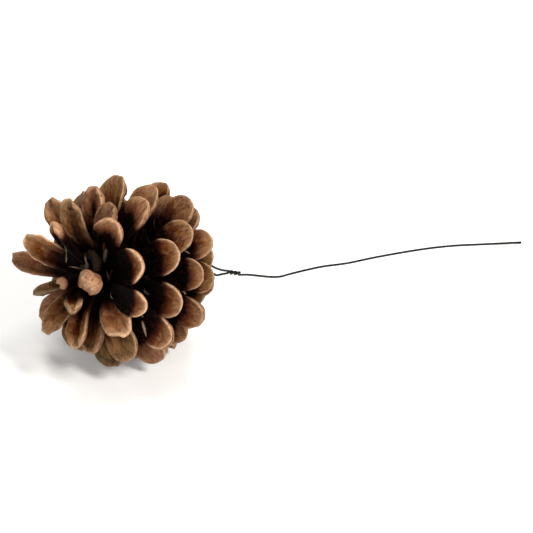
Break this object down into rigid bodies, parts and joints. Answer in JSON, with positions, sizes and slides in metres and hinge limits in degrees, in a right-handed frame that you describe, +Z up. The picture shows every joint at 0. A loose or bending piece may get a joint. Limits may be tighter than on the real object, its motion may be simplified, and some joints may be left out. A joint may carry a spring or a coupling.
{
  "type": "wired pine cone",
  "caption": "Open pine cone lying on its side on its lowest scales, with a thin stem wire hooked round its stalk, twisted on itself and running out as a long bent tail",
  "frame": {"origin": "on the surface under the middle of the whole object's bounding box", "axes": "+Z up; +X along the wire's run, from the cone towards the cut end; the cone's apex points at -X, 27 degrees towards -Y and 12 degrees up"},
  "size_m": [0.1538, 0.0864, 0.0572],
  "materials": {
    "cone": "dry weathered scales, dark inside with paler tips",
    "wire": "dark annealed steel wire, dull"
  },
  "bodies": {
    "root": {"cone": "cone", "wire": "wire"}
  },
  "joints": []
}
